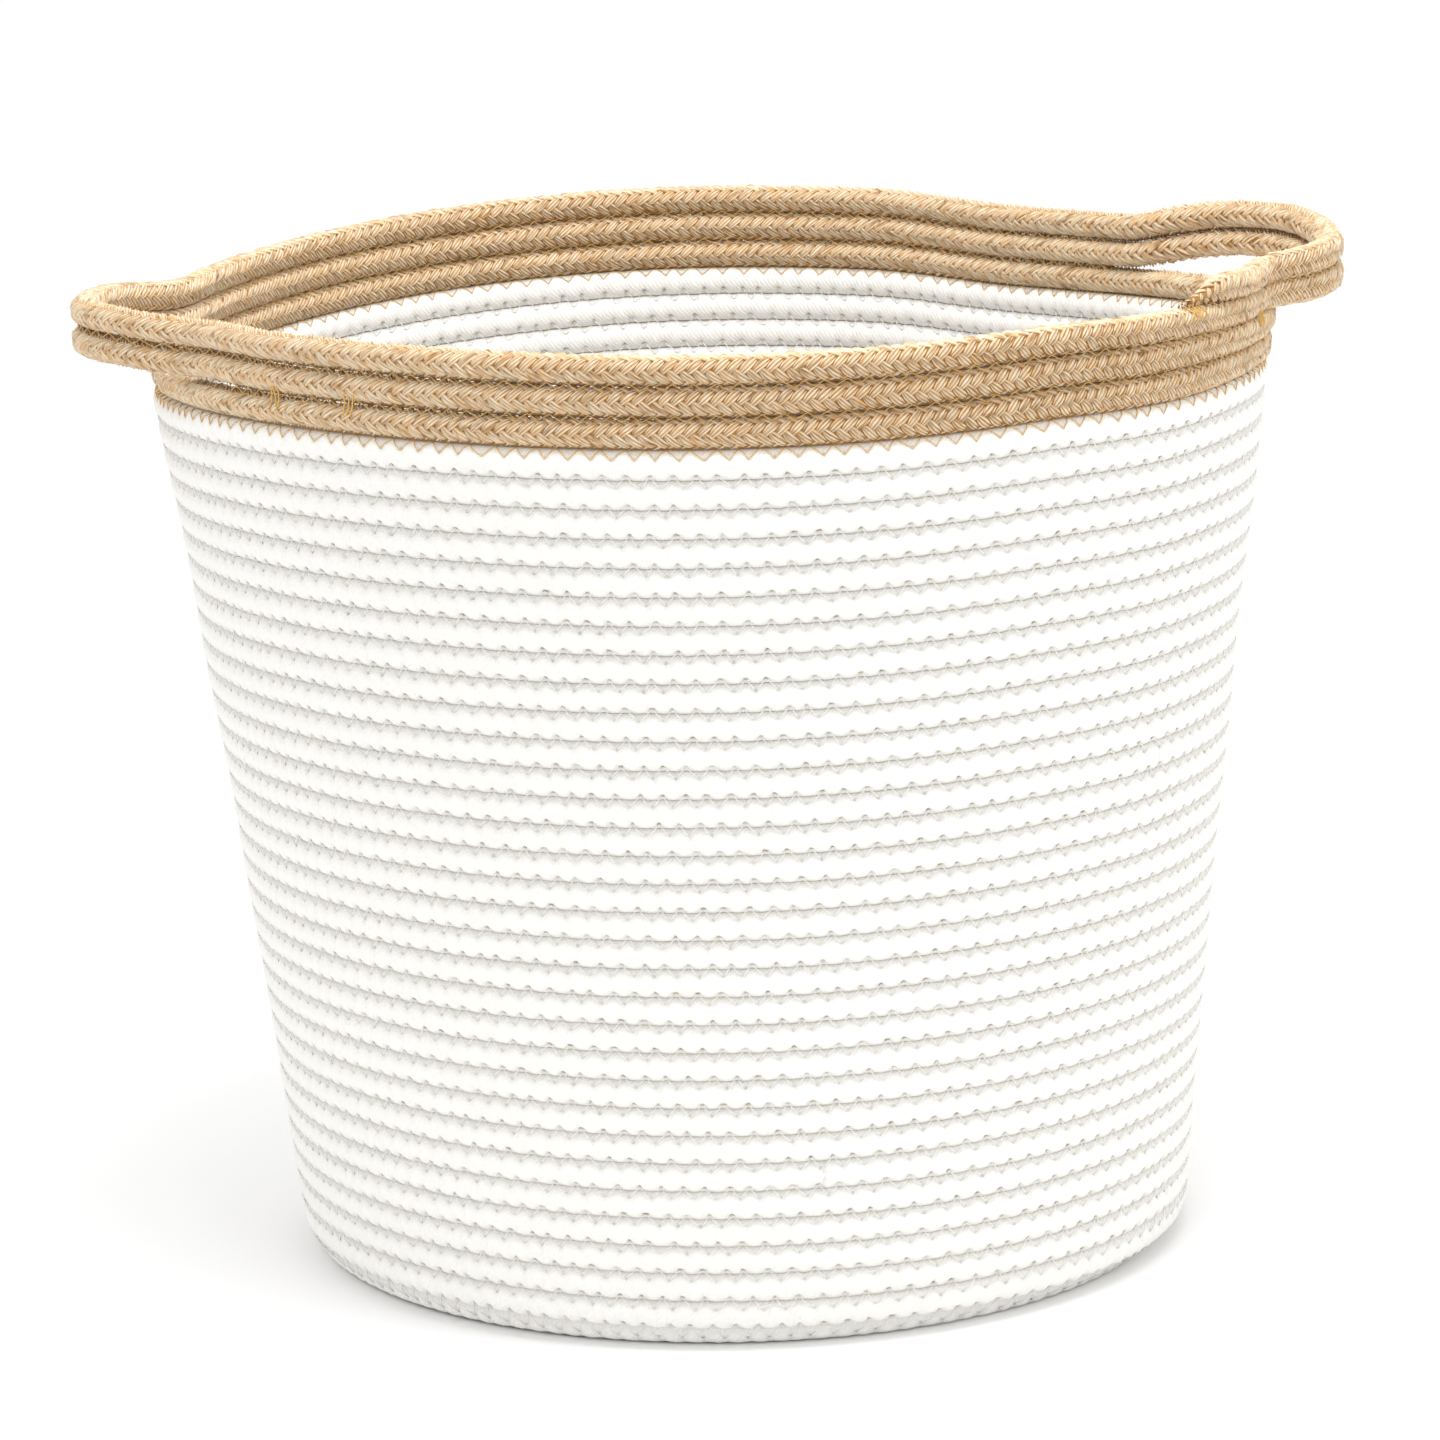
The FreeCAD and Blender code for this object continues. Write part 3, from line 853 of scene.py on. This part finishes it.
def braidPiece(name, start, end, seed):
    # arms, filling and loose fibres of the rope between two turns
    low, high = np.interp([start, end], juteGrid, juteLength)
    count = max(int(round((high - low) / braid["step"])), 2)
    turns = np.interp(low + (np.arange(count) + 0.5) * (high - low) / count, juteLength, juteGrid)
    point, along, out, up = juteFrame(turns)
    roll = braid["roll"] * ripple(turns * 9, 0.8)
    source = pathObject(name + "_path", relax(point), {
        "along": along, "out": out, "up": up, "roll": roll, "girth": tailGirth(turns)})
    arms = runTree(source, braidNodes, {
        "Arm": armShape, "Sectors": braid["sectors"], "Radius": braid["seat"],
        "Slant": math.radians(braid["slant"]), "Step": braid["step"], "Seed": seed,
        "Material": jutePaint}, name)
    arms.data.shade_smooth()
    skinCopy = arms.copy()
    bpy.context.scene.collection.objects.link(skinCopy)
    hairs = runTree(skinCopy, hairNodes, {
        "Hair": hairShape, "Density": braid["hairs"], "Seed": seed, "Material": hairPaint}, name + "_hairs")
    coreTurns = np.linspace(start, min(end, juteTurns - braid["coreShort"]), count)
    corePoint, _, coreOut, coreUp = juteFrame(coreTurns)
    v = np.arange(braid["coreSides"]) * 2 * math.pi / braid["coreSides"]
    ring = np.stack([np.cos(v), np.sin(v)], -1) * braid["core"]
    if "lower_loop" not in name:
        ring[:, 1] -= braid["keel"] * np.maximum(-np.sin(v), 0) ** 6
    points, faces = tube(corePoint, coreOut, coreUp, ring[None] * tailGirth(coreTurns)[:, None, None])
    core = meshObject(name + "_core", relax(points), faces)
    core.data.materials.append(coreShadePaint)
    return arms, core, hairs


def merged(name, parts):
    # one object from several, with all their materials
    with bpy.context.temp_override(active_object=parts[0], selected_editable_objects=parts):
        bpy.ops.object.join()
    parts[0].name = name
    parts[0].data.name = name
    return parts[0]


threadNodes = threadTree()
braidNodes = braidTree()
hairNodes = hairTree()
armShape = armObject()
hairShape = hairObject()
armShape.data.materials.append(jutePaint)
hairShape.data.materials.append(hairPaint)
rootTurn = (jute["rootAngle"] + jute["rootMargin"]) / 360
spans = {
    "rim_first_front": (0.0, 0.5),
    "rim_first_back": (0.5, 1.0),
    "rim_second_front": (1.0, 1.5 - rootTurn),
    "left_lower_loop": (1.5 - rootTurn, 1.5 + rootTurn),
    "rim_second_back": (1.5 + rootTurn, 2.0 - rootTurn),
    "right_lower_loop": (2.0 - rootTurn, 2.0 + rootTurn),
    "rim_third_front": (2.0 + rootTurn, 2.5 - rootTurn),
    "left_upper_loop": (2.5 - rootTurn, 2.5 + rootTurn),
    "rim_third_back": (2.5 + rootTurn, 3.0 - rootTurn),
    "right_upper_loop": (3.0 - rootTurn, juteTurns),
}
ropes = {}
for number, (name, (start, end)) in enumerate(spans.items()):
    ropes[name] = merged(name, list(braidPiece(name, start, end, 5 + number)))
bpy.data.objects.remove(armShape)
bpy.data.objects.remove(hairShape)
print("jute rope braided:", round(juteLength[-1], 2), "m")


# The threads

sewing = {
    "cottonThread": 0.00019,  # radii
    "tanThread": 0.00019,
    "tackThread": 0.00028,
    "holeSink": -0.0009,      # heights over the skin: in a needle hole, and between two
    "lie": 0.0001,
    "edgeSink": -0.0006,
    "edgeLie": 0.0002,
    "edgeDrop": 8.0,          # degrees by which the edge zigzag passes the needle holes
    "edgeTop": 72.0,
    "edgeEnds": (0.004, 0.985),     # turns, from the cotton's end
    "rimStitch": 0.0070,
    "rimSlip": 0.0007,        # turns
    "grooveAngle": 56.0,      # how far round a rope the groove's zigzag reaches
    "tackBars": 4,
    "tackStep": 0.0018,
    "tackMargin": 1.5,        # degrees from a loop's root to its tack
    "tackLean": 0.0009,       # turns
    "tackStray": 0.0002,
}


def phaseTurns(start, end):
    # turns at every quarter stitch between two turns, with the quarter's number
    grid = np.linspace(start, end, int((end - start) * 1500) + 2)
    phase = stitchPhase(grid)
    first, last = math.ceil(phase[0] * 4), math.floor(phase[-1] * 4)
    quarters = np.arange(first, last + 1)
    return np.interp(quarters / 4, phase, grid), quarters % 4


def cottonSpot(turns, side, angle, lifted):
    # points on the rope's skin, at an angle up from straight out (or straight in)
    point, out, up = cottonFrame(turns)
    a = math.radians(angle)
    power = skin["squareness"]
    full = (abs(math.cos(a)) ** power + abs(math.sin(a)) ** power) ** (-1 / power)
    outward = (skin["halfWidth"] * full + lifted) * math.cos(a) * side
    upward = (skin["halfHeight"] * full + lifted) * math.sin(a)
    return point + out * outward + up * upward


def cottonSeam(name, start, end, side, sides):
    # zigzag between a row's lower needle holes and the upper ones of the row below
    turns, quarter = phaseTurns(start, end)
    hole = skin["holeAngle"]
    onUpper = cottonSpot(turns, side, -hole, sewing["holeSink"])
    onLower = cottonSpot(turns - 1, side, hole, sewing["holeSink"])
    between = cottonSpot(turns, side, -hole, sewing["lie"]) + cottonSpot(turns - 1, side, hole, sewing["lie"])
    line = np.where((quarter == 0)[:, None], onUpper, np.where((quarter == 2)[:, None], onLower, between / 2))
    source = pathObject(name + "_path", relax(line), {}, joined=True)
    values = {"Radius": sewing["cottonThread"], "Sides": sides, "Material": whitePaint}
    return runTree(source, threadNodes, values, name)


def juteSpot(turns, side, angle, radius):
    # points round the jute rope, as cottonSpot gives them on the cotton
    point, _, out, up = juteFrame(turns)
    a = np.radians(angle)
    r = radius * tailGirth(turns)
    return point + out * (r * np.cos(a) * side)[:, None] + up * (r * np.sin(a))[:, None]


def tanSeam(name, parts, radius="tanThread"):
    # one piece from several runs of points, each a thread
    pieces = []
    for number, line in enumerate(parts):
        source = pathObject(name + str(number), relax(line), {}, joined=True)
        values = {"Radius": sewing[radius], "Sides": 6, "Material": tanPaint}
        pieces.append(runTree(source, threadNodes, values, name + "_" + str(number)))
    return merged(name, pieces)


def edgeLine(side):
    # down into the holes of the top cotton row and up between cotton and jute
    first, last = sewing["edgeEnds"]
    turns, quarter = phaseTurns(cottonTurns + first, cottonTurns + last)
    low = skin["holeAngle"] - sewing["edgeDrop"]
    high = sewing["edgeTop"]
    tip = cottonSpot(turns - 1, side, low, sewing["edgeSink"])
    top = cottonSpot(turns - 1, side, high, sewing["lie"])
    leg = cottonSpot(turns - 1, side, (low + high) / 2, sewing["edgeLie"])
    return np.where((quarter == 2)[:, None], tip, np.where((quarter == 0)[:, None], top, leg))


def grooveLine(start, end, side):
    # zigzag in the groove above a jute row
    count = int((end - start) * 2 * math.pi * rimRadius / sewing["rimStitch"]) * 2
    t = np.linspace(start, end, count)
    upper = np.arange(count) % 2 == 0
    t = t + sewing["rimSlip"] * ripple(t * 170, 1.1)
    above = juteSpot(t + 1, side, -sewing["grooveAngle"], juteRadius)
    below = juteSpot(t, side, sewing["grooveAngle"], juteRadius)
    return np.where(upper[:, None], above, below)


def tackLines(turn, bars, direction):
    # bars over the groove above a row; each dips in at both ends
    angles = np.array([14.0, 24.0, 42.0])
    heights = np.array([-0.0010, 0.0003, 0.0007])
    lines = []
    for bar in range(bars):
        t = turn + direction * bar * sewing["tackStep"] / (2 * math.pi * rimRadius)
        slanted = sewing["tackLean"] * rng.uniform(-1, 1) * np.linspace(-1, 1, 7)
        t = t + slanted + sewing["tackStray"] * rng.uniform(-1, 1, 7)
        low = juteSpot(t[:3], 1, angles, juteRadius + heights)
        high = juteSpot(t[4:] + 1, 1, -angles[::-1], juteRadius + heights[::-1])
        lines.append(np.vstack([low, (low[-1:] + high[:1]) / 2, high]))
    return lines


seams = []
seamEdges = np.linspace(wallStart + 1.1, cottonTurns - 0.02, 3)
for number in range(2):
    for side, word, sides in ((1, "outside", 4), (-1, "inside", 3)):
        name = "cotton_thread_" + word + "_" + str(number + 1)
        seams.append(cottonSeam(name, seamEdges[number], seamEdges[number + 1], side, sides))
baseSeam = cottonSeam("cotton_thread_base", 2.0, wallStart, -1, 4)
edgeSeam = tanSeam("edge_zigzag", [edgeLine(1), edgeLine(-1)])
lowerRuns = [(0.01, 0.5 - rootTurn), (0.5 + rootTurn, 1.0 - rootTurn)]
lowerSeam = tanSeam("rim_zigzag_lower", [grooveLine(*run, side) for side in (1, -1) for run in lowerRuns])
upperRuns = [(1.0 + rootTurn, 1.5 - rootTurn), (1.5 + rootTurn, 2.0 - rootTurn)]
upperLines = [grooveLine(*run, side) for side in (1, -1) for run in upperRuns]
upperLines.append(grooveLine(2.0 + rootTurn, juteTurns - 1.01, 1))
upperSeam = tanSeam("rim_zigzag_upper", upperLines)
loopSeams = {
    "left": tanSeam("left_loop_zigzag", [grooveLine(1.5 - rootTurn, 1.5 + rootTurn, 1)]),
    "right": tanSeam("right_loop_zigzag", [grooveLine(2.0 - rootTurn, 2.0 + rootTurn, 1)]),
}
tackTurn = (jute["rootAngle"] + sewing["tackMargin"]) / 360
tacks = {
    "left_front_tack": tackLines(0.5 - tackTurn - 0.029, 3, -1) + tackLines(0.5 - tackTurn - 0.058, 3, -1),
    "left_back_tack": tackLines(0.5 + tackTurn, sewing["tackBars"], 1),
    "right_back_tack": tackLines(1.0 - tackTurn - 0.008, sewing["tackBars"], -1),
    "right_front_tack": (tackLines(1.0 + tackTurn, sewing["tackBars"], 1)
                         + tackLines(juteTurns - 1.002, 5, -1)),
}
tacks = {name: tanSeam(name, lines, "tackThread") for name, lines in tacks.items()}
print("seams sewn")


# What each piece moves with, and the CAD nodes that it stands for

def dress(piece, body, nodes=()):
    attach(piece, body)
    if nodes:
        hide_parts(*nodes)


dress(baseCoil, "basket", ["base_rope_coil"])
dress(wallBands[0], "basket", ["wall_rope_coil"])
for piece in wallBands[1:]:
    dress(piece, "basket")
dress(baseSeam, "basket", ["base_seam_thread"])
dress(seams[0], "basket", ["wall_seam_thread"])
for piece in seams[1:]:
    dress(piece, "basket")
dress(edgeSeam, "basket", ["edge_seam_thread"])
dress(lowerSeam, "basket", ["rim_seam_thread_lower"])
dress(upperSeam, "basket", ["rim_seam_thread_upper"])
for name, piece in tacks.items():
    dress(piece, "basket", [name.replace("_tack", "_bar_tack")])
standsFor = {
    "rim_first_front": ["rim_rope_lower_run"],
    "rim_second_back": ["rim_rope_back_middle_run"],
    "rim_third_front": ["rim_rope_front_upper_run"],
    "rim_third_back": ["rim_rope_back_upper_run"],
    "left_lower_loop": ["left_handle_lower_rope"],
    "right_lower_loop": ["right_handle_lower_rope"],
    "left_upper_loop": ["left_handle_upper_rope"],
    "right_upper_loop": ["right_handle_upper_rope", "rim_rope_tail_end"],
}


def bendWithHandle(piece, nodes):
    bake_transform(piece)
    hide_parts(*nodes)


for name, piece in ropes.items():
    if "loop" in name:
        bendWithHandle(piece, standsFor[name])
    else:
        dress(piece, "basket", standsFor.get(name, ()))
for side, piece in loopSeams.items():
    bendWithHandle(piece, [side + "_handle_seam_thread"])
print("pieces riding")


# Floor, light and camera

stageLook = {
    "floor": 0.97,            # paint
    "floorHalf": 6.0,
    "world": 1.03,
    "aim": (0, 0, 0.25),      # where the lamps point
    "lamps": {                # place, width in metres, watts
        "key": ((1.5, -1.3, 1.8), 1.2, 5.0),
        "mouth": ((0.05, -0.25, 1.15), 0.5, 5.2),
    },
}


def studio():
    half = stageLook["floorHalf"]
    floor = meshObject("floor", [(-half, -half, 0), (half, -half, 0), (half, half, 0), (-half, half, 0)],
                       [[0, 1, 2, 3]])
    material, _, shader = newMaterial("floor_paint")
    shader.inputs["Base Color"].default_value = (stageLook["floor"],) * 3 + (1,)
    shader.inputs["Roughness"].default_value = 0.9
    floor.data.materials.append(material)
    world = bpy.data.worlds.new("studio")
    world.use_nodes = True
    world.node_tree.nodes["Background"].inputs["Color"].default_value = (1, 1, 1, 1)
    world.node_tree.nodes["Background"].inputs["Strength"].default_value = stageLook["world"]
    bpy.context.scene.world = world
    for name, (where, width, power) in stageLook["lamps"].items():
        light = bpy.data.lights.new(name, "AREA")
        light.size = width
        light.energy = power
        lamp = bpy.data.objects.new(name, light)
        lamp.location = where
        toBasket = Vector(stageLook["aim"]) - Vector(where)
        lamp.rotation_euler = toBasket.to_track_quat("-Z", "Y").to_euler()
        bpy.context.scene.collection.objects.link(lamp)


view = {
    "azimuth": -6.0,          # degrees
    "elevation": 12.83,
    "pitch": 12.225,
    "roll": 2.81,
    "distance": 2.441,        # metres, from the height below on the basket's axis
    "aim": 0.160,
    "lens": 169.3,            # millimetres
}


def placeCamera():
    a, e = math.radians(view["azimuth"]), math.radians(view["elevation"])
    back = Vector((math.sin(a) * math.cos(e), -math.cos(a) * math.cos(e), math.sin(e)))
    data = bpy.data.cameras.new("camera")
    data.lens = view["lens"]
    data.sensor_width = 36
    camera = bpy.data.objects.new("camera", data)
    pitch = math.radians(view["pitch"])
    look = Vector((-math.sin(a) * math.cos(pitch), math.cos(a) * math.cos(pitch), -math.sin(pitch)))
    turn = look.to_track_quat("-Z", "Y").to_matrix() @ Matrix.Rotation(math.radians(-view["roll"]), 3, "Z")
    place = Vector((0, 0, view["aim"])) + back * view["distance"]
    camera.matrix_world = Matrix.Translation(place) @ turn.to_4x4()
    bpy.context.scene.collection.objects.link(camera)
    bpy.context.scene.camera = camera


studio()
placeCamera()
bpy.context.scene.view_settings.view_transform = "Standard"
print("stage set")
